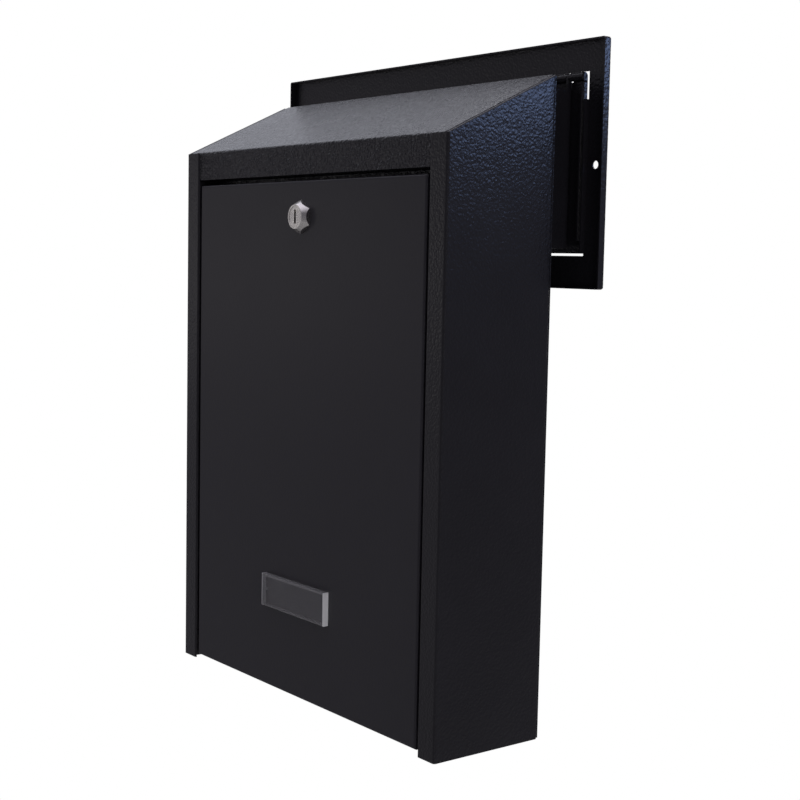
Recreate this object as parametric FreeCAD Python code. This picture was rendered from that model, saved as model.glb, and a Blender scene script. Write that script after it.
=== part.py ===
"""Rear-access sheet-steel mailbox: a case with a drop-down door, and a posting chute that runs through a gate
to a plate and flap on the street side.

Frame: +X is to the right seen from the door, +Y points to the street and +Z up. The origin is the centre of the
four screw holes, on the outer face of the back panel. The functions below count heights from the case's lower
edge, and save() moves each finished part into the frame.
"""

import FreeCAD, Part

import math
import os

Vector = FreeCAD.Vector

# Case
CASE_WIDTH = 298.0
CASE_DEPTH = 84.0
FRONT_HEIGHT = 370.0
REAR_HEIGHT = 410.0
SHEET = 1.0
BEND = 0.6  # inside radius of a fold
CORNER_BEND = 0.8  # inside radius of the case's two front corners
FRONT_FLANGE = 16.5
FLANGE_LIP = 5.0
REAR_FLANGE = 13.0
HEM = 8.0
HEM_ROUND = 0.95  # a little under half the doubled edge
ROOF_EDGE_ROUND = 0.8
RAIL_HEIGHT = 19.0
STRIKE_DROP = 8.0
ROOF_FLANGE = 10.0
ROOF_FLANGE_SHORT = 3.0  # its end to the back panel
FLOOR_HEIGHT = 10.0
FLOOR_FLANGE = 8.0
FLOOR_LIP = 5.0
BACK_TOP_FLANGE = 12.0

# Screw holes in the back panel
SCREW_SPACING_X = 200.0
SCREW_SPACING_Z = 200.0
SCREW_RADIUS = 3.0
SCREW_CENTRE_HEIGHT = 160.0

# Door
DOOR_RECESS = 0.5
DOOR_SIDE_GAP = 2.5
DOOR_TOP_GAP = 4.0
DOOR_BOTTOM_GAP = 3.2
DOOR_RETURN = 11.0
DOOR_BOTTOM_RETURN = 5.5
DOOR_STOP_GAP = 0.4

# Door hinges
HINGE_BEHIND_FACE = 6.7
HINGE_ABOVE_EDGE = 8.0
HINGE_PIN_RADIUS = 2.0
HINGE_HEAD_RADIUS = 3.5
HINGE_HEAD = 1.2
HINGE_WASHER_RADIUS = 4.0
BRACKET_SHEET = 1.5
BRACKET_HEIGHT = 20.0
BRACKET_FOOT = 12.0
BRACKET_BEHIND_PIN = 6.0
SWING_CLEARANCE = 1.5

# Lock
LOCK_BELOW_DOOR_TOP = 23.5
LOCK_HEX = 19.0
LOCK_HEAD = 5.4
LOCK_FACE_RADIUS = 7.9
LOCK_CONE = 5.0
BARREL_RADIUS = 8.0
BARREL_FLATS = 14.0
BARREL_LENGTH = 16.2
PLUG_RADIUS = 6.0
PLUG_HEAD_RADIUS = 6.7
PLUG_HEAD = 1.5
PLUG_RECESS = 0.3
KEYWAY_HEIGHT = 9.0
KEYWAY_WIDTH = 2.0
KEYWAY_DEPTH = 16.0
WAFER_COUNT = 5
WAFER_WIDTH = 7.0
WAFER_THICKNESS = 1.0
WAFER_PITCH = 2.4
WAFER_FIRST = 3.6
LOCK_WASHER_RADIUS = 11.5
LOCK_WASHER = 1.0
NUT_HEX = 22.0
NUT_HEIGHT = 4.0
LOCK_TURN = 90.0
STOP_LUG_ANGLE = 88.0
STOP_SLACK = 1.0
STOP_WASHER = 1.0
TANG = 6.0
CAM_WIDTH = 14.0
CAM_THICKNESS = 2.0
CAM_OVERLAP = 7.0
CAM_STRIKE_GAP = 0.6
CAM_SCREW_RADIUS = 2.0
CAM_SCREW_LENGTH = 6.0
CAM_SCREW_HEAD_RADIUS = 4.3
CAM_SCREW_HEAD = 2.6

# Name window
WINDOW_WIDTH = 74.0
WINDOW_HEIGHT = 22.0
WINDOW_DEPTH = 4.0
WINDOW_WALL = 1.2
WINDOW_CENTRE_HEIGHT = 70.7
PRONG_RADIUS = 1.2
PRONG_BARB = 0.5
PRONG_BARB_LENGTH = 2.5
PRONG_SLIT = 0.6

# Gate gap, chute, street plate and flap
GATE_THICKNESS = 18.4
CHUTE_SIDE_MARGIN = 11.5
CHUTE_HEIGHT = 98.0
CHUTE_BELOW_REAR = 6.0
CHUTE_FLANGE = 8.0
CHUTE_MOUTH_GAP = 0.8
PLATE_SIDE_MARGIN = 18.0
PLATE_HEIGHT = 151.0
PLATE_RISE = 22.3
PLATE_DEPTH = 5.6
PLATE_CORNER_RADIUS = 1.5
APERTURE_BESIDE_CHUTE = 14.5
APERTURE_HEIGHT = 112.0
APERTURE_ABOVE_EDGE = 20.2
APERTURE_LIP = 3.6
APERTURE_NOTCH = 0.8
APERTURE_NOTCH_HEIGHT = 17.0
PLATE_SCREW_MARGIN = 10.0
PLATE_SCREW_RADIUS = 2.5
FLAP_GAP = 2.0
FLAP_PROUD = 0.4
FLAP_RETURN = 5.0
FLAP_LIP = 6.0
FLAP_LIP_ANGLE = 30.0
ROD_RADIUS = 1.5
FLAP_ROLL_GAP = 0.4
ROD_END_GAP = 0.2
ROD_EAR_RADIUS = 2.4
CLIP_RADIUS = 2.4
CLIP_THICKNESS = 0.8
KNUCKLE_GAP = 0.3
RIVET_SPACING = 80.0
RIVET_RADIUS = 1.6
RIVET_HEAD_RADIUS = 3.2
RIVET_HEAD = 1.1
RIVET_TAIL_RADIUS = 2.4
CHUTE_TAB_MARGIN = 20.0

# Clearances
RUNNING_GAP = 0.05  # radial, a pin that turns in its hole
FIXED_GAP = 0.02  # radial, a pin that doesn't
FACE_GAP = 0.1  # between faces that slide past each other
HOLE_GAP = 0.2  # a part in its cut-out
SEAM = 1.4  # roof edge to hem

SAME = 0.01  # two places closer than this are one

# Planes and edges that the parts share
HALF_WIDTH = CASE_WIDTH / 2
FRONT_Y = -CASE_DEPTH
ROOF_SLOPE = (REAR_HEIGHT - FRONT_HEIGHT) / CASE_DEPTH
ROOF_DROP = SHEET * math.hypot(1.0, ROOF_SLOPE)
ROOF_HALF = HALF_WIDTH - 2 * SHEET - SEAM
FLANGE_X = HALF_WIDTH - FRONT_FLANGE
REAR_FLANGE_X = HALF_WIDTH - REAR_FLANGE
RAIL_Y = FRONT_Y + SHEET
RAIL_BOTTOM = FRONT_HEIGHT - RAIL_HEIGHT

DOOR_Y = FRONT_Y + DOOR_RECESS
DOOR_X = FLANGE_X - DOOR_SIDE_GAP
DOOR_BOTTOM = DOOR_BOTTOM_GAP
DOOR_TOP = RAIL_BOTTOM - DOOR_TOP_GAP
PRONG_X = WINDOW_WIDTH / 2 - PRONG_RADIUS

HINGE_Y = DOOR_Y + HINGE_BEHIND_FACE
HINGE_Z = DOOR_BOTTOM + HINGE_ABOVE_EDGE
EAR_X = FLANGE_X + SHEET + FACE_GAP
BRACKET_TOP = HINGE_Z + BRACKET_HEIGHT / 2
FLOOR_FRONT = HINGE_Y + math.hypot(HINGE_BEHIND_FACE, HINGE_ABOVE_EDGE) + SWING_CLEARANCE

LOCK_Z = DOOR_TOP - LOCK_BELOW_DOOR_TOP
LOCK_FACE_Y = DOOR_Y - LOCK_HEAD
BARREL_END = DOOR_Y + BARREL_LENGTH
STOP_Y = BARREL_END + RUNNING_GAP
CAM_Y = STOP_Y + STOP_WASHER + RUNNING_GAP
STRIKE_Y = CAM_Y - CAM_STRIKE_GAP
STOP_LUG_START = 180 - STOP_LUG_ANGLE / 2
STOP_NOTCH_ANGLE = LOCK_TURN + STOP_LUG_ANGLE + 2 * STOP_SLACK
CAM_REACH = RAIL_BOTTOM - STRIKE_DROP - LOCK_Z + CAM_OVERLAP

CHUTE_HALF = HALF_WIDTH - CHUTE_SIDE_MARGIN
CHUTE_TOP = REAR_HEIGHT - CHUTE_BELOW_REAR
CHUTE_BOTTOM = CHUTE_TOP - CHUTE_HEIGHT
APERTURE_HALF = CHUTE_HALF + APERTURE_BESIDE_CHUTE
PLATE_HALF = APERTURE_HALF + PLATE_SIDE_MARGIN
PLATE_SCREW_X = PLATE_HALF - PLATE_SCREW_MARGIN
PLATE_TOP = REAR_HEIGHT + PLATE_RISE
PLATE_BOTTOM = PLATE_TOP - PLATE_HEIGHT
PLATE_Y = GATE_THICKNESS + PLATE_DEPTH
APERTURE_BOTTOM = PLATE_BOTTOM + APERTURE_ABOVE_EDGE
APERTURE_TOP = APERTURE_BOTTOM + APERTURE_HEIGHT
RIVET_Z = (PLATE_BOTTOM + APERTURE_BOTTOM) / 2

FLAP_HALF = APERTURE_HALF - FLAP_GAP
FLAP_Y = PLATE_Y + FLAP_PROUD
FLAP_BOTTOM = APERTURE_BOTTOM + FLAP_GAP
FLAP_ROLL = ROD_RADIUS + RUNNING_GAP + SHEET
FLAP_TOP = APERTURE_TOP - FLAP_ROLL_GAP
ROD_Y = FLAP_Y - FLAP_ROLL
ROD_Z = FLAP_TOP - FLAP_ROLL
MOUTH_Y = FLAP_Y - SHEET - CHUTE_MOUTH_GAP


def in_plan(x, y):
    return Vector(x, y, 0)


def from_side(y, z):
    return Vector(0, y, z)


def from_front(x, z):
    return Vector(x, 0, z)


def box(x, y, z):
    """Block between two values on each axis."""
    size = [high - low for low, high in (x, y, z)]
    return Part.makeBox(*size, Vector(x[0], y[0], z[0]))


def across(x0, x1, y, z, radius):
    """Round bar along X."""
    return Part.makeCylinder(radius, x1 - x0, Vector(x0, y, z), Vector(1, 0, 0))


def through(y0, y1, x, z, radius):
    """Round bar along Y."""
    return Part.makeCylinder(radius, y1 - y0, Vector(x, y0, z), Vector(0, 1, 0))


def hexagon(y0, y1, z, across_flats):
    """Hexagonal bar along Y on the lock's axis, with corners up and down."""
    radius = across_flats / math.sqrt(3)
    turns = [math.radians(60 * i) for i in range(6)]
    corners = [Vector(radius * math.sin(a), y0, z + radius * math.cos(a)) for a in turns]
    return Part.Face(Part.makePolygon(corners + corners[:1])).extrude(Vector(0, y1 - y0, 0))


def rounded_wire(points, radii):
    """Closed wire through the points, each corner rounded to its radius."""
    pieces = []
    for i, corner in enumerate(points):
        back = (points[i - 1] - corner).normalize()
        ahead = (points[(i + 1) % len(points)] - corner).normalize()
        half_angle = back.getAngle(ahead) / 2
        reach = radii[i] / math.tan(half_angle)
        middle = corner
        if radii[i]:
            inward = (back + ahead).normalize()
            middle = corner + inward * (radii[i] / math.sin(half_angle) - radii[i])
        pieces.append((corner + back * reach, middle, corner + ahead * reach))
    edges = []
    for i, (start, middle, end) in enumerate(pieces):
        if radii[i]:
            edges.append(Part.Arc(start, middle, end).toShape())
        next_start = pieces[(i + 1) % len(pieces)][0]
        if end.distanceToPoint(next_start) > SAME:
            edges.append(Part.LineSegment(end, next_start).toShape())
    return Part.Wire(edges)


def profile(points, view, sweep, radii=None):
    """Solid swept from an outline given as pairs in one view."""
    corners = [view(*point) for point in points]
    return Part.Face(rounded_wire(corners, radii or [0] * len(points))).extrude(sweep)


def folded(path, bends, view, sweep, thickness=SHEET):
    """Folded sheet: path follows its outer face with the sheet on the left, and bends are inside radii."""
    steps = [Vector(b[0] - a[0], b[1] - a[1], 0).normalize() for a, b in zip(path, path[1:])]
    lefts = [Vector(-step.y, step.x, 0) for step in steps]
    inner = []
    outer_radii = []
    inner_radii = []
    for i, (u, v) in enumerate(path):
        before = lefts[max(i - 1, 0)]
        after = lefts[min(i, len(lefts) - 1)]
        shift = (before + after) * (thickness / (1 + before.dot(after)))
        inner.append((u + shift.x, v + shift.y))
        if i in (0, len(path) - 1):
            outer_radii.append(0)
            inner_radii.append(0)
            continue
        turns_left = steps[i - 1].cross(steps[i]).z > 0
        outer_radii.append(bends[i - 1] + (thickness if turns_left else 0))
        inner_radii.append(bends[i - 1] + (0 if turns_left else thickness))
    points = list(path) + inner[::-1]
    return profile(points, view, sweep, outer_radii + inner_radii[::-1])


def mirrored(shape):
    """The same part for the other side of the case."""
    return shape.mirror(Vector(0, 0, 0), Vector(1, 0, 0))


def both_sides(shape):
    return shape.fuse(mirrored(shape))


def fillet_where(shape, radius, wanted):
    """Round every edge whose middle point passes the test."""
    edges = [e for e in shape.Edges if wanted(e.CenterOfMass)]
    return shape.makeFillet(radius, edges)


def roof_line(y):
    """Height of the roof's outer face."""
    return REAR_HEIGHT + ROOF_SLOPE * y


def under_roof(shape, gap):
    """Trim a shape to a plane a vertical gap below the roof's outer face."""
    top = REAR_HEIGHT + CASE_DEPTH
    reach = 2 * CASE_WIDTH
    ends = (RAIL_Y, SHEET)
    points = [(y, roof_line(y) - gap) for y in ends] + [(ends[1], top), (ends[0], top)]
    above = profile(points, from_side, Vector(2 * reach, 0, 0))
    return shape.cut(above.translate(Vector(-reach, 0, 0)))


def side_panel():
    """Right side: a wall with a front flange and its lip, a rear flange relieved for the chute, and a hem."""
    path = [
        (FLANGE_X, FRONT_Y + FLANGE_LIP),
        (FLANGE_X, FRONT_Y),
        (HALF_WIDTH, FRONT_Y),
        (HALF_WIDTH, -SHEET),
        (REAR_FLANGE_X, -SHEET),
    ]
    panel = folded(path, [BEND, CORNER_BEND, BEND], in_plan, Vector(0, 0, REAR_HEIGHT))
    panel = under_roof(panel, ROOF_DROP)
    panel = panel.cut(box((FLANGE_X, HALF_WIDTH), (FRONT_Y, RAIL_Y), (FRONT_HEIGHT, REAR_HEIGHT)))
    lip_x = (FLANGE_X, FLANGE_X + SHEET + BEND)
    lip_y = (RAIL_Y, FRONT_Y + FLANGE_LIP)
    panel = panel.cut(box(lip_x, lip_y, (0, BRACKET_TOP + SHEET)))
    panel = panel.cut(box(lip_x, lip_y, (RAIL_BOTTOM - SHEET, REAR_HEIGHT)))
    relief_x = (REAR_FLANGE_X, HALF_WIDTH - SHEET - BEND)
    panel = panel.cut(box(relief_x, (-2 * SHEET, -SHEET), (CHUTE_BOTTOM - CHUTE_FLANGE - SHEET, REAR_HEIGHT)))
    return panel.fuse(hem()).removeSplitter()


def hem():
    """The wall's upper edge, folded double with a round top, trimmed to the case's outer corners."""
    inner_x = HALF_WIDTH - 2 * SHEET
    low = REAR_HEIGHT - HEM
    points = [(inner_x, low), (HALF_WIDTH, low), (HALF_WIDTH, REAR_HEIGHT), (inner_x, REAR_HEIGHT)]
    along = Vector(0, FRONT_Y, FRONT_HEIGHT - REAR_HEIGHT)
    strip = profile(points, from_front, along, [0, 0, HEM_ROUND, HEM_ROUND])
    corners = [(FLANGE_X, FRONT_Y), (HALF_WIDTH, FRONT_Y), (HALF_WIDTH, -SHEET), (FLANGE_X, -SHEET)]
    radii = [0, CORNER_BEND + SHEET, BEND + SHEET, 0]
    return strip.common(profile(corners, in_plan, Vector(0, 0, REAR_HEIGHT), radii))


def roof_panel():
    """Sloped roof folded down into the front rail, which folds back and down into the strike lip."""
    rear = (0, roof_line(0))
    front = (RAIL_Y, roof_line(RAIL_Y))
    width = Vector(2 * ROOF_HALF, 0, 0)
    path = [rear, front, (RAIL_Y, RAIL_BOTTOM)]
    roof = folded(path, [SHEET], from_side, width).translate(Vector(-ROOF_HALF, 0, 0))
    roof = roof.fuse(roof_flange()).fuse(mirrored(roof_flange())).removeSplitter()
    roof = fillet_where(roof, ROOF_EDGE_ROUND, on_roof_edge)
    roof = roof.fuse(strike_lip()).removeSplitter()
    behind = box((-HALF_WIDTH, HALF_WIDTH), (0, SHEET), (0, REAR_HEIGHT))
    return roof.cut(behind)


def on_roof_edge(point):
    on_side = abs(abs(point.x) - ROOF_HALF) < SAME
    return on_side and abs(point.z - roof_line(point.y)) < SAME


def roof_flange():
    """Flange that turns down from the roof's edge, inside the hem."""
    front = RAIL_Y + CORNER_BEND + SHEET
    rear = -SHEET - ROOF_FLANGE_SHORT
    corners = ((front, 0), (rear, 0), (rear, ROOF_FLANGE), (front, ROOF_FLANGE))
    points = [(y, roof_line(y) - drop) for y, drop in corners]
    return profile(points, from_side, Vector(SHEET, 0, 0)).translate(Vector(ROOF_HALF - SHEET, 0, 0))


def strike_lip():
    """The rail's lower edge: back to the strike, then down, where it stops the door and catches the cam."""
    half = FLANGE_X - SHEET
    path = [
        (RAIL_Y, RAIL_BOTTOM + 2 * SHEET),
        (RAIL_Y, RAIL_BOTTOM),
        (STRIKE_Y - SHEET, RAIL_BOTTOM),
        (STRIKE_Y - SHEET, RAIL_BOTTOM - STRIKE_DROP),
    ]
    lip = folded(path, [BEND, BEND], from_side, Vector(2 * half, 0, 0))
    return lip.translate(Vector(-half, 0, 0))


def back_panel():
    """Flat back with a cut-out for the chute, four screw holes and a top flange under the roof."""
    half = HALF_WIDTH - SHEET + HOLE_GAP
    panel = under_roof(box((-half, half), (-SHEET, 0), (SHEET / 2, REAR_HEIGHT)), ROOF_DROP)
    drop = BACK_TOP_FLANGE * ROOF_SLOPE
    top = roof_line(0) - ROOF_DROP
    end = -BACK_TOP_FLANGE
    points = [(0, top), (0, top - ROOF_DROP), (end, top - drop - ROOF_DROP), (end, top - drop)]
    flange_half = REAR_FLANGE_X - SHEET
    flange = profile(points, from_side, Vector(2 * flange_half, 0, 0)).translate(Vector(-flange_half, 0, 0))
    hole_x = CHUTE_HALF + HOLE_GAP
    hole_z = (CHUTE_BOTTOM - HOLE_GAP, CHUTE_TOP + HOLE_GAP)
    panel = panel.fuse(flange).cut(box((-hole_x, hole_x), (-SHEET, 0), hole_z))
    for x in (-SCREW_SPACING_X / 2, SCREW_SPACING_X / 2):
        for z in (-SCREW_SPACING_Z / 2, SCREW_SPACING_Z / 2):
            panel = panel.cut(through(-SHEET, 0, x, SCREW_CENTRE_HEIGHT + z, SCREW_RADIUS))
    return panel.removeSplitter()


def floor_panel():
    """Floor set above the lower edge: flanges down at the sides and back, and a lip up behind the door."""
    half = HALF_WIDTH - SHEET
    rear = -2 * SHEET - BEND - FACE_GAP
    top = FLOOR_HEIGHT + SHEET
    low = FLOOR_HEIGHT - FLOOR_FLANGE
    path = [(half, low), (half, top), (-half, top), (-half, low)]
    floor = folded(path, [BEND, BEND], from_front, Vector(0, rear - FLOOR_FRONT, 0))
    floor = floor.translate(Vector(0, FLOOR_FRONT, 0))
    lip_y = (FLOOR_FRONT, FLOOR_FRONT + SHEET)
    floor = floor.fuse(box((-FLANGE_X, FLANGE_X), lip_y, (FLOOR_HEIGHT, top + FLOOR_LIP)))
    rear_half = REAR_FLANGE_X - SHEET
    floor = floor.fuse(box((-rear_half, rear_half), (rear, -SHEET), (FLOOR_HEIGHT, top)))
    floor = floor.fuse(box((-rear_half, rear_half), (-2 * SHEET, -SHEET), (low, top)))
    return floor.removeSplitter()


def chute_hood():
    """Upper part of the chute: top and sides, flanged on the inside of the back, with ears for the flap's rod."""
    half = CHUTE_HALF
    path = [(half, CHUTE_BOTTOM), (half, CHUTE_TOP), (-half, CHUTE_TOP), (-half, CHUTE_BOTTOM)]
    start = -2 * SHEET
    hood = folded(path, [BEND, BEND], from_front, Vector(0, MOUTH_Y - start, 0)).translate(Vector(0, start, 0))
    side = box((half - SHEET, half + CHUTE_FLANGE), (start, -SHEET), (CHUTE_BOTTOM, CHUTE_TOP - CHUTE_FLANGE))
    hood = hood.fuse(both_sides(side))
    for sign in (-1, 1):
        x = min(sign * half, sign * (half - SHEET))
        ear = across(x, x + SHEET, ROD_Y, ROD_Z, ROD_EAR_RADIUS)
        neck_y = (ROD_Y - ROD_EAR_RADIUS, MOUTH_Y)
        ear = ear.fuse(box((x, x + SHEET), neck_y, (CHUTE_TOP - CHUTE_FLANGE, ROD_Z)))
        hood = hood.fuse(ear).cut(across(x, x + SHEET, ROD_Y, ROD_Z, ROD_RADIUS + FIXED_GAP))
    return hood.removeSplitter()


def chute_floor():
    """Lower part of the chute, with side flanges in the hood, one tab on the back and one on the street plate."""
    half = CHUTE_HALF - SHEET
    start = -2 * SHEET
    plate_back = PLATE_Y - SHEET
    path = [
        (-half, CHUTE_BOTTOM + CHUTE_FLANGE),
        (-half, CHUTE_BOTTOM),
        (half, CHUTE_BOTTOM),
        (half, CHUTE_BOTTOM + CHUTE_FLANGE),
    ]
    floor = folded(path, [BEND, BEND], from_front, Vector(0, MOUTH_Y - start, 0)).translate(Vector(0, start, 0))
    inner = (start, -SHEET)
    tab_half = half - CHUTE_TAB_MARGIN
    floor = floor.fuse(box((-tab_half, tab_half), inner, (CHUTE_BOTTOM - CHUTE_FLANGE, CHUTE_BOTTOM + SHEET)))
    street = [
        (MOUTH_Y - SHEET, CHUTE_BOTTOM),
        (plate_back - SHEET, CHUTE_BOTTOM),
        (plate_back - SHEET, RIVET_Z - RIVET_HEAD_RADIUS - SHEET),
    ]
    return floor.fuse(street_tab(street)).removeSplitter()


def street_tab(path):
    """Tab that folds down from the chute's floor behind the plate's lower margin."""
    half = RIVET_SPACING + CHUTE_TAB_MARGIN
    tab = folded(path, [BEND], from_side, Vector(2 * half, 0, 0)).translate(Vector(-half, 0, 0))
    for x in rivet_places():
        tab = tab.cut(through(PLATE_Y - 2 * SHEET, PLATE_Y - SHEET, x, RIVET_Z, RIVET_RADIUS + FIXED_GAP))
    return tab


def rivet_places():
    return (-RIVET_SPACING, 0, RIVET_SPACING)


def street_plate():
    """Shallow tray with its rim towards the gate, an aperture with side lips, and a screw hole at each end."""
    half = PLATE_HALF
    tray = rounded_tray(half, PLATE_BOTTOM, PLATE_TOP, (GATE_THICKNESS, PLATE_Y), PLATE_CORNER_RADIUS)
    back = PLATE_Y - SHEET
    sheet = (back, PLATE_Y)
    tray = tray.cut(box((-APERTURE_HALF, APERTURE_HALF), sheet, (APERTURE_BOTTOM, APERTURE_TOP)))
    notch_bottom = APERTURE_TOP - APERTURE_NOTCH_HEIGHT
    lip_x = (APERTURE_HALF, APERTURE_HALF + SHEET)
    lip = box(lip_x, (back - APERTURE_LIP, PLATE_Y), (APERTURE_BOTTOM + FLAP_GAP, notch_bottom))
    tray = tray.fuse(both_sides(lip))
    relief = box((APERTURE_HALF, APERTURE_HALF + APERTURE_NOTCH), sheet, (notch_bottom, APERTURE_TOP))
    tray = tray.cut(both_sides(relief))
    screw = through(back, PLATE_Y, PLATE_SCREW_X, (PLATE_BOTTOM + PLATE_TOP) / 2, PLATE_SCREW_RADIUS)
    tray = tray.cut(both_sides(screw))
    for x in rivet_places():
        tray = tray.cut(through(back, PLATE_Y, x, RIVET_Z, RIVET_RADIUS + FIXED_GAP))
    return tray.removeSplitter()


def rounded_tray(half, bottom, top, depth, corner):
    """Tray that opens towards the gate, with round corners and a folded outer edge."""
    outer = upright_block(half, bottom, top, depth, corner)
    edge = SHEET + BEND
    outer = fillet_where(outer, edge, lambda p: abs(p.y - depth[1]) < SAME)
    inner_depth = (depth[0], depth[1] - SHEET)
    inner = upright_block(half - SHEET, bottom + SHEET, top - SHEET, inner_depth, corner - SHEET)
    return outer.cut(inner)


def upright_block(half, bottom, top, depth, corner):
    points = [(-half, bottom), (half, bottom), (half, top), (-half, top)]
    block = profile(points, from_front, Vector(0, depth[1] - depth[0], 0), [corner] * 4)
    return block.translate(Vector(0, depth[0], 0))


def plate_rivets():
    """Blind rivets through the street plate and the chute's tab, as separate solids."""
    rivets = []
    dome_radius = (RIVET_HEAD_RADIUS**2 + RIVET_HEAD**2) / (2 * RIVET_HEAD)
    for x in rivet_places():
        dome = Part.makeSphere(dome_radius, Vector(x, PLATE_Y + RIVET_HEAD - dome_radius, RIVET_Z))
        head = dome.common(through(PLATE_Y, PLATE_Y + RIVET_HEAD, x, RIVET_Z, RIVET_HEAD_RADIUS))
        tail = through(PLATE_Y - 2 * SHEET - RIVET_HEAD, PLATE_Y - 2 * SHEET, x, RIVET_Z, RIVET_TAIL_RADIUS)
        shank = through(PLATE_Y - 2 * SHEET, PLATE_Y, x, RIVET_Z, RIVET_RADIUS)
        rivets.append(head.fuse(shank).fuse(tail).removeSplitter())
    return Part.makeCompound(rivets)


def posting_flap():
    """Flap rolled round its rod at the top, with side returns, and a lower lip bent out for the fingers."""
    angle = math.radians(FLAP_LIP_ANGLE)
    bend_z = FLAP_BOTTOM + FLAP_LIP * math.cos(angle)
    path = [
        (FLAP_Y + FLAP_LIP * math.sin(angle), FLAP_BOTTOM),
        (FLAP_Y, bend_z),
        (FLAP_Y, ROD_Z),
    ]
    flap = folded(path, [2 * SHEET], from_side, Vector(2 * FLAP_HALF, 0, 0)).translate(Vector(-FLAP_HALF, 0, 0))
    edge = (FLAP_HALF - SHEET, FLAP_HALF)
    side = box(edge, (FLAP_Y - FLAP_RETURN, FLAP_Y), (bend_z + 2 * SHEET, ROD_Z - FLAP_ROLL - SHEET))
    roll = across(-FLAP_HALF, FLAP_HALF, ROD_Y, ROD_Z, FLAP_ROLL)
    flap = flap.fuse(roll).fuse(both_sides(side))
    flap = flap.cut(across(-FLAP_HALF, FLAP_HALF, ROD_Y, ROD_Z, ROD_RADIUS + RUNNING_GAP))
    knuckle_x = (CHUTE_HALF - SHEET - KNUCKLE_GAP, CHUTE_HALF + FACE_GAP + CLIP_THICKNESS + KNUCKLE_GAP)
    knuckle = box(knuckle_x, (ROD_Y - FLAP_ROLL, FLAP_Y), (ROD_Z - FLAP_ROLL - KNUCKLE_GAP, FLAP_TOP))
    return flap.cut(both_sides(knuckle)).removeSplitter()


def flap_rod():
    half = FLAP_HALF - ROD_END_GAP
    return across(-half, half, ROD_Y, ROD_Z, ROD_RADIUS)


def flap_rod_clips():
    """Push-on clips outside the chute's ears, as separate solids."""
    start = CHUTE_HALF + FACE_GAP
    ring = across(start, start + CLIP_THICKNESS, ROD_Y, ROD_Z, CLIP_RADIUS)
    ring = ring.cut(across(start, start + CLIP_THICKNESS, ROD_Y, ROD_Z, ROD_RADIUS + FIXED_GAP))
    mouth = (ROD_Z - CLIP_RADIUS, ROD_Z)
    ring = ring.cut(box((start, start + CLIP_THICKNESS), (ROD_Y - ROD_RADIUS, ROD_Y + ROD_RADIUS), mouth))
    return Part.makeCompound([ring, mirrored(ring)])


def hinge_bracket():
    """Right bracket: an ear for the pin, and a foot welded behind the front flange."""
    rear = HINGE_Y + BRACKET_BEHIND_PIN
    path = [(EAR_X, rear), (EAR_X, RAIL_Y), (EAR_X + BRACKET_FOOT, RAIL_Y)]
    bracket = folded(path, [BEND], in_plan, Vector(0, 0, BRACKET_HEIGHT), BRACKET_SHEET)
    bracket = bracket.translate(Vector(0, 0, HINGE_Z - BRACKET_HEIGHT / 2))
    bracket = fillet_where(bracket, BRACKET_HEIGHT / 4, lambda p: p.y > rear - SAME and is_ear_end(p))
    return bracket.cut(across(EAR_X, EAR_X + BRACKET_SHEET, HINGE_Y, HINGE_Z, HINGE_PIN_RADIUS + FIXED_GAP))


def is_ear_end(point):
    return abs(abs(point.z - HINGE_Z) - BRACKET_HEIGHT / 2) < SAME


def hinge_pin():
    """Right shoulder rivet: its head is inside the door's return, and its tail is closed on the bracket."""
    head_end = DOOR_X - SHEET - FACE_GAP
    ear_end = EAR_X + BRACKET_SHEET
    head = across(head_end - HINGE_HEAD, head_end, HINGE_Y, HINGE_Z, HINGE_HEAD_RADIUS)
    head = fillet_where(head, HINGE_HEAD / 2, lambda p: p.x < head_end - HINGE_HEAD + SAME)
    shank = across(head_end, ear_end, HINGE_Y, HINGE_Z, HINGE_PIN_RADIUS)
    tail = across(ear_end, ear_end + HINGE_HEAD, HINGE_Y, HINGE_Z, HINGE_HEAD_RADIUS - BEND)
    return head.fuse(shank).fuse(tail).removeSplitter()


def hinge_washer():
    """Right plastic washer that keeps the door clear of the bracket."""
    ends = (DOOR_X + FACE_GAP, EAR_X - FACE_GAP)
    ring = across(*ends, HINGE_Y, HINGE_Z, HINGE_WASHER_RADIUS)
    return ring.cut(across(*ends, HINGE_Y, HINGE_Z, HINGE_PIN_RADIUS + RUNNING_GAP))


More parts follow.
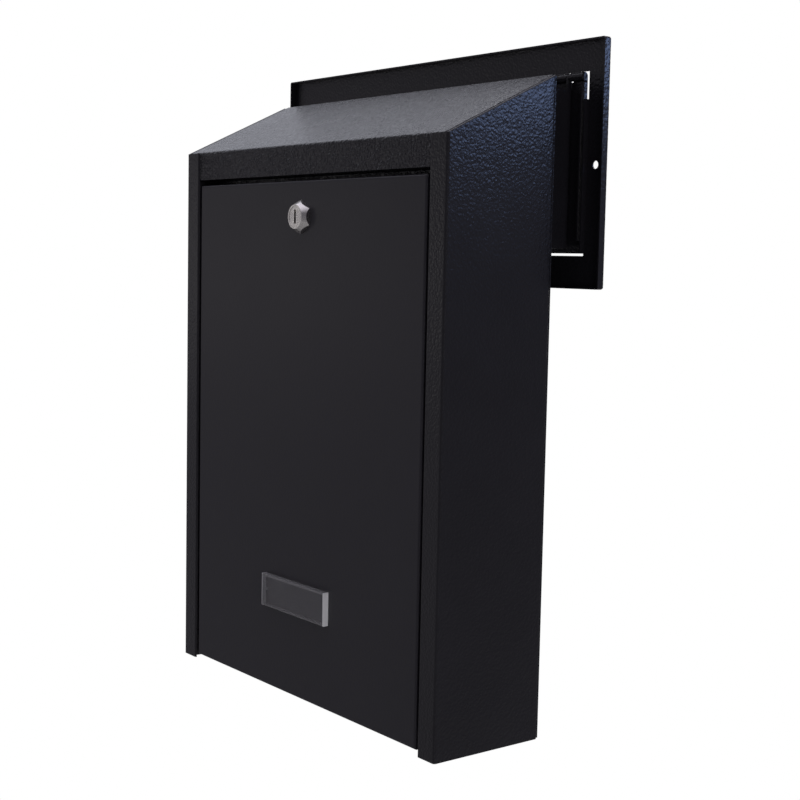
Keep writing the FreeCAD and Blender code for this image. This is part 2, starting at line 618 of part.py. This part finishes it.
def door_panel():
    """Tray with round folded edges, a deeper top return that meets the strike, and holes for its fittings."""
    rear = DOOR_Y + DOOR_RETURN
    door = box((-DOOR_X, DOOR_X), (DOOR_Y, rear), (DOOR_BOTTOM, DOOR_TOP))
    door = fillet_where(door, SHEET + BEND, lambda p: abs(p.y - DOOR_Y) < SAME)
    inner_x = DOOR_X - SHEET
    inner = box((-inner_x, inner_x), (DOOR_Y + SHEET, rear), (DOOR_BOTTOM + SHEET, DOOR_TOP - SHEET))
    inner = fillet_where(inner, BEND, lambda p: abs(p.y - DOOR_Y - SHEET) < SAME)
    door = door.cut(inner)
    stop = STRIKE_Y - SHEET - DOOR_STOP_GAP
    stop_half = FLANGE_X - SHEET - DOOR_RETURN
    door = door.fuse(box((-stop_half, stop_half), (rear - SHEET, stop), (DOOR_TOP - SHEET, DOOR_TOP)))
    trim_y = (DOOR_Y + DOOR_BOTTOM_RETURN, rear)
    door = door.cut(box((-inner_x, inner_x), trim_y, (DOOR_BOTTOM, DOOR_BOTTOM + SHEET)))
    face = (DOOR_Y, DOOR_Y + SHEET)
    barrel_hole = through(*face, 0, LOCK_Z, BARREL_RADIUS + FACE_GAP)
    flats = BARREL_FLATS / 2 + FACE_GAP
    door = door.cut(barrel_hole.common(box((-flats, flats), face, (DOOR_BOTTOM, DOOR_TOP))))
    prong_hole = through(*face, PRONG_X, WINDOW_CENTRE_HEIGHT, PRONG_RADIUS + FACE_GAP)
    door = door.cut(both_sides(prong_hole))
    pivot = across(inner_x, DOOR_X, HINGE_Y, HINGE_Z, HINGE_PIN_RADIUS + RUNNING_GAP)
    return door.cut(both_sides(pivot)).removeSplitter()


def lock_housing():
    """Turned body: a hex head with a conical front, a barrel with two flats, and a stop lug at its end."""
    slope_end = LOCK_FACE_Y + LOCK_CONE
    head = hexagon(LOCK_FACE_Y, DOOR_Y, LOCK_Z, LOCK_HEX)
    cone_radius = LOCK_HEX / math.sqrt(3)
    cone = lock_cone(LOCK_FACE_Y, LOCK_FACE_RADIUS, slope_end, cone_radius)
    cone = cone.fuse(through(slope_end, DOOR_Y, 0, LOCK_Z, cone_radius))
    barrel = through(DOOR_Y, BARREL_END, 0, LOCK_Z, BARREL_RADIUS)
    flats = BARREL_FLATS / 2
    barrel = barrel.common(box((-flats, flats), (DOOR_Y, BARREL_END), (LOCK_Z - LOCK_HEX, LOCK_Z + LOCK_HEX)))
    body = head.common(cone).fuse(barrel).fuse(stop_lug())
    bore = through(LOCK_FACE_Y, BARREL_END, 0, LOCK_Z, PLUG_RADIUS + RUNNING_GAP)
    seat_end = LOCK_FACE_Y + PLUG_RECESS + PLUG_HEAD + RUNNING_GAP
    seat = through(LOCK_FACE_Y, seat_end, 0, LOCK_Z, PLUG_HEAD_RADIUS + RUNNING_GAP)
    return body.cut(bore).cut(seat).removeSplitter()


def lock_cone(y0, radius0, y1, radius1):
    return Part.makeCone(radius0, radius1, y1 - y0, Vector(0, y0, LOCK_Z), Vector(0, 1, 0))


def lock_sector(y, radii, start, sweep):
    """Part of a ring about the lock's axis; angles run from +Z towards +X."""
    near, far = radii
    outline = ((y[0], near), (y[1], near), (y[1], far), (y[0], far))
    corners = [Vector(0, a, LOCK_Z + r) for a, r in outline]
    centre = Vector(0, 0, LOCK_Z)
    face = Part.Face(Part.makePolygon(corners + corners[:1]))
    return face.rotate(centre, Vector(0, 1, 0), start).revolve(centre, Vector(0, 1, 0), sweep)


def stop_lug():
    """Lug on the barrel's end, below the axis, that limits the stop washer's turn."""
    radii = (PLUG_RADIUS + RUNNING_GAP, BARREL_FLATS / 2)
    return lock_sector((BARREL_END, BARREL_END + STOP_WASHER), radii, STOP_LUG_START, STOP_LUG_ANGLE)


def lock_washer():
    ends = (DOOR_Y + SHEET, DOOR_Y + SHEET + LOCK_WASHER)
    ring = through(*ends, 0, LOCK_Z, LOCK_WASHER_RADIUS)
    return ring.cut(through(*ends, 0, LOCK_Z, BARREL_RADIUS + FACE_GAP))


def lock_nut():
    """Hexagonal nut with chamfered corners."""
    start = DOOR_Y + SHEET + LOCK_WASHER
    end = start + NUT_HEIGHT
    nut = hexagon(start, end, LOCK_Z, NUT_HEX)
    corner = NUT_HEX / math.sqrt(3)
    chamfered = lock_cone(start, corner + NUT_HEIGHT - SHEET, end, corner - SHEET)
    nut = nut.common(chamfered)
    return nut.cut(through(start, end, 0, LOCK_Z, BARREL_RADIUS + FIXED_GAP))


def lock_plug():
    """Turned plug: front head, keyway, wafer slots, and a square tang with a screw hole."""
    start = LOCK_FACE_Y + PLUG_RECESS
    plug = through(start, start + PLUG_HEAD, 0, LOCK_Z, PLUG_HEAD_RADIUS)
    plug = plug.fuse(through(start, BARREL_END, 0, LOCK_Z, PLUG_RADIUS))
    tang_end = CAM_Y + CAM_THICKNESS - FACE_GAP
    tang = (-TANG / 2, TANG / 2)
    plug = plug.fuse(box(tang, (BARREL_END, tang_end), (LOCK_Z + tang[0], LOCK_Z + tang[1])))
    keyway_z = (LOCK_Z - KEYWAY_HEIGHT / 2, LOCK_Z + KEYWAY_HEIGHT / 2)
    plug = plug.cut(box((-KEYWAY_WIDTH / 2, KEYWAY_WIDTH / 2), (start, start + KEYWAY_DEPTH), keyway_z))
    for y in wafer_places():
        plug = plug.cut(wafer_block(y, FACE_GAP, PLUG_RADIUS + FACE_GAP))
    screw_start = CAM_Y + CAM_THICKNESS - CAM_SCREW_LENGTH - FACE_GAP
    return plug.cut(through(screw_start, tang_end, 0, LOCK_Z, CAM_SCREW_RADIUS + FIXED_GAP)).removeSplitter()


def wafer_places():
    return [LOCK_FACE_Y + WAFER_FIRST + WAFER_PITCH * i for i in range(WAFER_COUNT)]


def wafer_block(y, gap, reach):
    """Space of one wafer, grown by a gap."""
    half = WAFER_WIDTH / 2 + gap
    return box((-half, half), (y - gap, y + WAFER_THICKNESS + gap), (LOCK_Z - reach, LOCK_Z + reach))


def lock_wafers():
    """Flat brass wafers in the plug's slots, as separate solids, each with a window for the key."""
    wafers = []
    for y in wafer_places():
        ends = (y, y + WAFER_THICKNESS)
        wafer = wafer_block(y, 0, PLUG_RADIUS)
        wafer = wafer.common(through(*ends, 0, LOCK_Z, PLUG_RADIUS - FACE_GAP))
        window_x = (-KEYWAY_WIDTH / 2 - HOLE_GAP, KEYWAY_WIDTH / 2 + HOLE_GAP)
        window_z = (LOCK_Z - KEYWAY_HEIGHT / 2 + SHEET, LOCK_Z + KEYWAY_HEIGHT / 2 - SHEET)
        wafers.append(wafer.cut(box(window_x, ends, window_z)))
    return Part.makeCompound(wafers)


def square_hole(y0, y1):
    half = TANG / 2 + RUNNING_GAP
    return box((-half, half), (y0, y1), (LOCK_Z - half, LOCK_Z + half))


def lock_stop_washer():
    """Washer on the tang whose notch lets the plug turn between the lug's two sides."""
    ends = (STOP_Y, STOP_Y + STOP_WASHER)
    disc = through(*ends, 0, LOCK_Z, BARREL_RADIUS)
    radii = (PLUG_RADIUS - FACE_GAP, BARREL_RADIUS + SHEET)
    notch = lock_sector(ends, radii, STOP_LUG_START - STOP_SLACK, STOP_NOTCH_ANGLE)
    return disc.cut(notch).cut(square_hole(*ends)).removeSplitter()


def lock_cam():
    """Flat cam with round ends, pointing sideways while the door is unlocked."""
    ends = (CAM_Y, CAM_Y + CAM_THICKNESS)
    half = CAM_WIDTH / 2
    tip = CAM_REACH - half
    cam = box((0, tip), ends, (LOCK_Z - half, LOCK_Z + half))
    cam = cam.fuse(through(*ends, 0, LOCK_Z, half)).fuse(through(*ends, tip, LOCK_Z, half))
    return cam.cut(square_hole(*ends)).removeSplitter()


def lock_cam_screw():
    """Pan-head screw with a cross recess that holds the cam on the tang."""
    start = CAM_Y + CAM_THICKNESS
    head_end = start + CAM_SCREW_HEAD
    head = through(start, head_end, 0, LOCK_Z, CAM_SCREW_HEAD_RADIUS)
    head = fillet_where(head, CAM_SCREW_HEAD / 2, lambda p: p.y > head_end - SAME)
    arm = CAM_SCREW_RADIUS
    slot = CAM_SCREW_RADIUS / 4
    depth = (head_end - CAM_SCREW_HEAD / 2, head_end)
    head = head.cut(box((-arm, arm), depth, (LOCK_Z - slot, LOCK_Z + slot)))
    head = head.cut(box((-slot, slot), depth, (LOCK_Z - arm, LOCK_Z + arm)))
    return head.fuse(through(start - CAM_SCREW_LENGTH, start, 0, LOCK_Z, CAM_SCREW_RADIUS)).removeSplitter()


def name_window():
    """Clear moulded cover, open at the back, with two split prongs that snap into the door."""
    half = WINDOW_WIDTH / 2
    front = DOOR_Y - WINDOW_DEPTH
    low = WINDOW_CENTRE_HEIGHT - WINDOW_HEIGHT / 2
    high = WINDOW_CENTRE_HEIGHT + WINDOW_HEIGHT / 2
    window = box((-half, half), (front, DOOR_Y), (low, high))
    window = fillet_where(window, WINDOW_WALL / 3, lambda p: abs(p.y - front) < SAME)
    wall = WINDOW_WALL
    window = window.cut(box((wall - half, half - wall), (front + wall, DOOR_Y), (low + wall, high - wall)))
    return window.fuse(both_sides(prong())).removeSplitter()


def prong():
    """Right prong, rooted in the window's end wall."""
    rear = DOOR_Y + SHEET + FACE_GAP
    end = rear + PRONG_BARB_LENGTH
    base = Vector(PRONG_X, rear, WINDOW_CENTRE_HEIGHT)
    barb = Part.makeCone(PRONG_RADIUS + PRONG_BARB, PRONG_RADIUS / 2, end - rear, base, Vector(0, 1, 0))
    shape = through(DOOR_Y - WINDOW_WALL, rear, PRONG_X, WINDOW_CENTRE_HEIGHT, PRONG_RADIUS).fuse(barb)
    slit_x = (PRONG_X - PRONG_SLIT / 2, PRONG_X + PRONG_SLIT / 2)
    slit_z = (WINDOW_CENTRE_HEIGHT - WINDOW_HEIGHT / 2, WINDOW_CENTRE_HEIGHT + WINDOW_HEIGHT / 2)
    return shape.cut(box(slit_x, (DOOR_Y, end), slit_z))


def save(name, shape):
    """Write one sub-part, moved from the case's lower edge into the part's frame."""
    placed = shape.translate(Vector(0, 0, -SCREW_CENTRE_HEIGHT))
    placed.exportStep(os.path.join("parts", name + ".step"))


SINGLE_PARTS = {
    "roof_panel": roof_panel,
    "back_panel": back_panel,
    "floor_panel": floor_panel,
    "chute_hood": chute_hood,
    "chute_floor": chute_floor,
    "street_plate": street_plate,
    "plate_rivets": plate_rivets,
    "posting_flap": posting_flap,
    "flap_rod": flap_rod,
    "flap_rod_clips": flap_rod_clips,
    "door_panel": door_panel,
    "lock_housing": lock_housing,
    "lock_washer": lock_washer,
    "lock_nut": lock_nut,
    "lock_plug": lock_plug,
    "lock_wafers": lock_wafers,
    "lock_stop_washer": lock_stop_washer,
    "lock_cam": lock_cam,
    "lock_cam_screw": lock_cam_screw,
    "name_window": name_window,
}
PAIRED_PARTS = {
    "side_panel": side_panel,
    "hinge_bracket": hinge_bracket,
    "hinge_pin": hinge_pin,
    "hinge_washer": hinge_washer,
}

os.makedirs("parts", exist_ok=True)
for name, make in SINGLE_PARTS.items():
    save(name, make())
for name, make in PAIRED_PARTS.items():
    save(name + "_right", make())
    save(name + "_left", mirrored(make()))
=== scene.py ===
import math

import bpy
from mathutils import Matrix, Vector


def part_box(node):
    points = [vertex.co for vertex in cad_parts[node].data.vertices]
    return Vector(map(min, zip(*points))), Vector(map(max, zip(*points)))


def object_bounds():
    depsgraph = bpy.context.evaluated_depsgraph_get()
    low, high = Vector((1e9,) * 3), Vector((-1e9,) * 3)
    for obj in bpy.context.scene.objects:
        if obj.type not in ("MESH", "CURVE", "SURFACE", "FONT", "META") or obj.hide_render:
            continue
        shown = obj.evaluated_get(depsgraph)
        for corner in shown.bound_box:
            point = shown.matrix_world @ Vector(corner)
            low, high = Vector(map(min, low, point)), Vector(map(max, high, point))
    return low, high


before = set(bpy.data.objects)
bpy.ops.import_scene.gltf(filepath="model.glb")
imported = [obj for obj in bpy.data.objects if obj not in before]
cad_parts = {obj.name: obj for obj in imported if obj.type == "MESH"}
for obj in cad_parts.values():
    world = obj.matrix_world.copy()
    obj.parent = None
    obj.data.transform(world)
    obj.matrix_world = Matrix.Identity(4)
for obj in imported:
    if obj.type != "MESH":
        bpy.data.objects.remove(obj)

cad_low, cad_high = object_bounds()


# Side panels, roof, back and floor
# Zinc-coated sheet steel, 1 mm thick, folded on a press brake and spot-welded into the case.
# The whole case is then powder-coated black, with a hammer relief that is deepest on the roof.

class Socket:
    """A node's output. Arithmetic on it adds Math nodes, and node() adds any other kind."""

    def __init__(self, socket):
        self.socket = socket

    def node(self, kind, settings, inputs, output=0):
        """Add a node: its settings first, then the values or links of its sockets."""
        tree = self.socket.id_data
        made = tree.nodes.new(kind)
        for name, value in settings.items():
            if name == "stops":
                stops = made.color_ramp.elements
                while len(stops) < len(value):
                    stops.new(0.5)
                for stop, (place, shade) in zip(stops, value):
                    stop.position = place
                    stop.color = (shade, shade, shade, 1)
            else:
                setattr(made, name, value)
        for name, value in inputs.items():
            if isinstance(value, Socket):
                tree.links.new(value.socket, made.inputs[name])
            else:
                made.inputs[name].default_value = value
        return Socket(made.outputs[output])

    def maths(self, operation, first, second=0.0):
        """A Math node on two values, of which this is usually one."""
        return self.node("ShaderNodeMath", {"operation": operation}, {0: first, 1: second})

    def __add__(self, other):
        return self.maths("ADD", self, other)

    __radd__ = __add__

    def __mul__(self, other):
        return self.maths("MULTIPLY", self, other)

    __rmul__ = __mul__

    def __sub__(self, other):
        return self.maths("SUBTRACT", self, other)

    def __rsub__(self, other):
        return self.maths("SUBTRACT", other, self)

    def mix(self, dark, pale):
        """A colour that runs from dark to pale as this value goes from 0 to 1."""
        inputs = {0: self, 6: (*dark, 1), 7: (*pale, 1)}
        return self.node("ShaderNodeMix", {"data_type": "RGBA"}, inputs, 2)

    def ramp(self, *stops):
        """A grey that follows the stops, each of them a place and a shade."""
        return self.node("ShaderNodeValToRGB", {"stops": stops}, {"Fac": self})

    def noise(self, scale, detail=2.0, roughness=0.5, output=0):
        """Noise over this position, in cycles per metre: its value, or its colour as output 1."""
        inputs = {"Vector": self, "Scale": scale, "Detail": detail, "Roughness": roughness}
        return self.node("ShaderNodeTexNoise", {}, inputs, output)

    def scaled(self, factor):
        return self.node("ShaderNodeVectorMath", {"operation": "SCALE"}, {0: self, "Scale": factor})

    def vector(self, operation, other=(0, 0, 0), output=0):
        return self.node("ShaderNodeVectorMath", {"operation": operation}, {0: self, 1: other}, output)

    def shifted(self, offset):
        return self.vector("ADD", offset)

    def part(self, axis):
        """The x, y or z part of this vector, as axis 0, 1 or 2."""
        return self.node("ShaderNodeSeparateXYZ", {}, {0: self}, axis)


def new_finish(name):
    """An empty material: itself, its shader and the position on the piece in metres."""
    material = bpy.data.materials.new(name)
    material.use_nodes = True
    nodes = material.node_tree.nodes
    place = nodes.new("ShaderNodeTexCoord").outputs["Object"]
    return material, nodes["Principled BSDF"], Socket(place)


def feed(shader, **values):
    """Set or link the shader's sockets, named with underscores for spaces."""
    for name, value in values.items():
        target = shader.inputs[name.replace("_", " ")]
        if isinstance(value, Socket):
            shader.id_data.links.new(value.socket, target)
        else:
            target.default_value = value


def bumped(height, depth):
    """A surface direction from a height of 0 to 1, which is depth metres deep."""
    return height.node("ShaderNodeBump", {}, {"Height": height, "Distance": depth, "Strength": 1.0})


def powder_coat(name, relief, roughness, painted_lightness=1.0):
    """Black polyester powder: hammer cells just under 2 mm across, an orange peel and faint wear."""
    cells_per_metre = 560.0
    cell_sway = 0.0022
    black, dusty_black = (0.0075, 0.0072, 0.009), (0.0125, 0.012, 0.0145)
    material, shader, place = new_finish(name)
    sway = place.noise(260, 2, output=1).scaled(cell_sway)
    cells = place.node(
        "ShaderNodeTexVoronoi",
        {"feature": "SMOOTH_F1"},
        {"Vector": place.shifted(sway), "Scale": cells_per_metre, "Smoothness": 0.55, "Randomness": 0.95},
    )
    peel = place.noise(1400, 3)
    wear = place.noise(22, 4, 0.6)
    height = (1 - cells) * 0.85 + peel * 0.15
    # A lightness above 1 makes the base colour paler: painted light that brightens the piece.
    feed(
        shader,
        Base_Color=wear.mix(black, dusty_black).scaled(painted_lightness),
        Roughness=wear * 0.08 + peel * 0.06 + (roughness - 0.07),
        Normal=bumped(height, relief),
        IOR=1.5,
    )
    return material


def paint(material, *nodes):
    """Give the named pieces this finish in place of their plain one."""
    for node in nodes:
        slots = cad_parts[node].data.materials
        slots.clear()
        slots.append(material)


case_coat = powder_coat("case_powder_coat", relief=0.00025, roughness=0.3)
paint(case_coat, "side_panel_left", "side_panel_right", "back_panel", "floor_panel")
paint(powder_coat("roof_powder_coat", relief=0.0009, roughness=0.27), "roof_panel")


# Hinges
# Two brackets of thicker sheet, welded behind the case's flanges and coated with it. The door turns on a
# shoulder rivet in each, of bright zinc-plated steel, with a moulded washer of natural nylon between them.

def zinc_plate():
    """Bright zinc, slightly blue, with a fine drawn grain and cloudy patches."""
    material, shader, place = new_finish("zinc_plate")
    cloud = place.noise(180, 3)
    grain = place.noise(2600, 2)
    feed(
        shader,
        Base_Color=cloud.mix((0.5, 0.51, 0.53), (0.66, 0.67, 0.69)),
        Roughness=cloud * 0.15 + grain * 0.1 + 0.2,
        Normal=bumped(grain, 0.00001),
        Metallic=1.0,
    )
    return material


def moulded_nylon():
    material, shader, place = new_finish("moulded_nylon")
    mottle = place.noise(700, 2)
    feed(
        shader,
        Base_Color=mottle.mix((0.62, 0.6, 0.54), (0.72, 0.7, 0.65)),
        Roughness=mottle * 0.1 + 0.42,
        Normal=bumped(mottle, 0.00002),
    )
    return material


zinc = zinc_plate()
paint(case_coat, "hinge_bracket_left", "hinge_bracket_right")
paint(zinc, "hinge_pin_left", "hinge_pin_right")
paint(moulded_nylon(), "hinge_washer_left", "hinge_washer_right")


# Chute, street plate and flap
# The same folded sheet and powder as the case. The chute's two halves are spot-welded to each other and to the
# back, and its floor is riveted to the plate. The flap hangs from a rod that two clips keep in place.

paint(case_coat, "chute_hood", "chute_floor", "street_plate", "plate_rivets")
paint(case_coat, "posting_flap", "flap_rod", "flap_rod_clips")


# Door
# A shallow tray folded from one sheet, with holes for the lock and the window's prongs. Its black powder coat
# has only a faint relief and is a little duller than the case's. Its base colour is painted paler than the
# case's, painted light that makes the door brighter than the street plate in its shade.

paint(powder_coat("door_powder_coat", relief=0.00004, roughness=0.42, painted_lightness=1.9), "door_panel")


# Cam lock
# A die-cast housing and a turned plug, nickel-plated, with stamped brass wafers. A nut on a washer clamps the
# housing in the door, and a screw holds the cam on the plug; they are zinc-plated steel.

def bright_nickel():
    """Nickel with fine turning rings about the lock's axis and small polishing marks."""
    ring_angle = 14000  # of the rings' wave, in radians per metre
    material, shader, place = new_finish("bright_nickel")
    low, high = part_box("lock_housing")
    axis = (low + high) / 2
    centred = place.shifted((-axis.x, 0, -axis.z))
    radius = centred.vector("MULTIPLY", (1, 0, 1)).vector("LENGTH", output=1)
    rings = radius.maths("SINE", radius * ring_angle)
    marks = place.noise(900, 3)
    feed(
        shader,
        Base_Color=marks.mix((0.78, 0.76, 0.71), (0.9, 0.88, 0.84)),
        Roughness=marks * 0.16 + 0.2,
        Normal=bumped(rings * 0.5 + marks, 0.00002),
        Metallic=1.0,
    )
    return material


def stamped_brass():
    material, shader, place = new_finish("stamped_brass")
    tarnish = place.noise(600, 3)
    feed(
        shader,
        Base_Color=tarnish.mix((0.45, 0.3, 0.1), (0.72, 0.54, 0.24)),
        Roughness=tarnish * 0.2 + 0.25,
        Normal=bumped(tarnish, 0.00001),
        Metallic=1.0,
    )
    return material


paint(bright_nickel(), "lock_housing", "lock_plug")
paint(zinc, "lock_washer", "lock_nut", "lock_stop_washer", "lock_cam", "lock_cam_screw")
paint(stamped_brass(), "lock_wafers")


# Name window
# A clear cover of moulded acrylic over the place for a name card. A split prong at each end snaps into a hole
# in the door.

def shade_over(tree, factor, under, over):
    """Show the shader over on top of the shader under, as far as factor says."""
    blend = tree.nodes.new("ShaderNodeMixShader")
    tree.links.new(factor.socket, blend.inputs[0])
    tree.links.new(under.outputs[0], blend.inputs[1])
    tree.links.new(over.outputs[0], blend.inputs[2])
    tree.links.new(blend.outputs[0], tree.nodes["Material Output"].inputs["Surface"])


def clear_acrylic():
    """Polished front, and walls that are frosted as they come from the mould."""
    wall = 0.0014
    end_frost, edge_frost = 0.8, 0.2
    material, shader, place = new_finish("clear_acrylic")
    tree = shader.id_data
    haze = place.noise(240, 3)
    relief = bumped(haze, 0.00002)
    feed(
        shader,
        Base_Color=haze.mix((0.9, 0.91, 0.92), (0.97, 0.97, 0.97)),
        Roughness=haze * 0.08 + 0.04,
        Normal=relief,
        IOR=1.49,
        Transmission_Weight=1.0,
    )
    frost = tree.nodes.new("ShaderNodeBsdfPrincipled")
    milky = haze.mix((0.72, 0.72, 0.72), (0.86, 0.86, 0.86))
    feed(frost, Base_Color=milky, Roughness=0.35, Normal=relief)
    low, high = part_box("name_window")
    middle = (low + high) / 2
    half = (high - low) / 2
    from_middle = place.shifted(-middle).vector("ABSOLUTE")
    across, upwards = from_middle.part(0), from_middle.part(2)
    at_ends = across.maths("GREATER_THAN", across, half.x - wall)
    at_edges = upwards.maths("GREATER_THAN", upwards, half.z - wall)
    frosted = at_ends.maths("MAXIMUM", at_ends * end_frost, at_edges * edge_frost)
    shade_over(tree, frosted, shader, frost)
    return material


paint(clear_acrylic(), "name_window")


# Studio
# A plain floor well below the case, which hangs on a gate, and a dim room that is bright overhead.
# Both are plain white to the camera. Broad soft lights stand above the roof and on the street side.

def studio_floor(radius, height):
    """A disc that is plain white to the camera, and dim and pale to the object above it."""
    bpy.ops.mesh.primitive_circle_add(vertices=96, radius=radius, fill_type="NGON", location=(0, 0, height))
    floor = bpy.context.object
    floor.name = "studio_floor"
    material, shader, place = new_finish("pale_floor")
    tree = shader.id_data
    speck = place.noise(60, 2)
    feed(shader, Base_Color=speck.mix((0.3, 0.3, 0.29), (0.33, 0.33, 0.32)), Roughness=0.9)
    seen = Socket(tree.nodes.new("ShaderNodeLightPath").outputs["Is Camera Ray"])
    shade_over(tree, seen, shader, tree.nodes.new("ShaderNodeEmission"))
    floor.data.materials.append(material)


def studio_sky():
    """White to the camera, and to the object a dim room that is bright overhead."""
    world = bpy.data.worlds.new("studio_sky")
    world.use_nodes = True
    tree = world.node_tree
    height = Socket(tree.nodes.new("ShaderNodeTexCoord").outputs["Generated"]).part(2)
    bright = height.ramp((0.0, 0.14), (0.45, 0.08), (0.62, 0.25), (1.0, 0.9))
    room = bright.mix((0, 0, 0), (0.97, 0.93, 1.08))
    seen = Socket(tree.nodes.new("ShaderNodeLightPath").outputs["Is Camera Ray"])
    shown = seen.node("ShaderNodeMix", {"data_type": "RGBA"}, {0: seen, 6: room, 7: (1, 1, 1, 1)}, 2)
    tree.links.new(shown.socket, tree.nodes["Background"].inputs["Color"])
    bpy.context.scene.world = world


def soft_light(name, place, target, size, watts, colour, glossy=True):
    """A square soft box at place that faces target. The camera never sees the box itself."""
    lamp = bpy.data.lights.new(name, "AREA")
    lamp.size = size
    lamp.energy = watts
    lamp.color = colour
    holder = bpy.data.objects.new(name, lamp)
    holder.location = place
    holder.visible_camera = False
    holder.visible_glossy = glossy
    aim = Vector(target) - Vector(place)
    holder.rotation_euler = aim.to_track_quat("-Z", "Y").to_euler()
    bpy.context.scene.collection.objects.link(holder)


studio_floor(radius=5.0, height=cad_low.z - 0.6)
studio_sky()
bluish, cool, warm = (0.87, 0.9, 1.0), (0.94, 0.9, 1.0), (1, 0.98, 0.95)
soft_light("overhead", (-1.2, 0.42, 1.15), (0, 0, 0.2), size=1.6, watts=6.2, colour=bluish)
soft_light("street_side", (-0.7, 1.5, 0.7), (0, 0, 0.1), size=1.2, watts=12, colour=warm)
soft_light("front_left", (-1.3, -1.4, 0.2), (0, -0.1, 0.05), size=2.2, watts=1.4, colour=cool)

# A small blue light rakes over the right side's relief below the roof line.
sky_blue = (0.39, 0.55, 1.0)
soft_light("right_rear", (0.367, 0.157, 0.326), (0.15, -0.043, 0.233), size=0.12, watts=0.26, colour=sky_blue)

# A light on the right whitens the window's frosted end and leaves no line on the case's glossy corner,
# and a small warm one in front shows in the lock's bright face.
pale_blue, candle = (0.97, 0.96, 1.0), (1, 0.97, 0.92)
right_side = (1.5, -0.4, -0.05)
soft_light("right_side", right_side, (0.15, -0.05, -0.05), size=0.8, watts=7.5, colour=pale_blue, glossy=False)
soft_light("lock_glint", (-0.83, -0.64, 0.14), (0, -0.09, 0.16), size=0.2, watts=0.08, colour=candle)


# Camera
# It stands to the right of the door and a little above the middle of the case, and looks slightly down at it.
# Its turn, tilt and roll are in degrees, from straight at the door and from level.

lens = bpy.data.cameras.new("camera")
lens.lens = 65.92
camera = bpy.data.objects.new("camera", lens)
turn, tilt, roll = (math.radians(angle) for angle in (-52.261, -5.486, 1.143))
ahead = Vector((math.sin(turn) * math.cos(tilt), math.cos(turn) * math.cos(tilt), math.sin(tilt)))
right = Vector((math.cos(turn), -math.sin(turn), 0))
up = right.cross(ahead)
across = right * math.cos(roll) + up * math.sin(roll)
upright = up * math.cos(roll) - right * math.sin(roll)
facing = Matrix((across, upright, -ahead)).transposed().to_4x4()
camera.matrix_world = Matrix.Translation((0.8004, -0.6189, 0.1373)) @ facing
bpy.context.scene.collection.objects.link(camera)
bpy.context.scene.camera = camera
bpy.context.scene.view_settings.view_transform = "Standard"
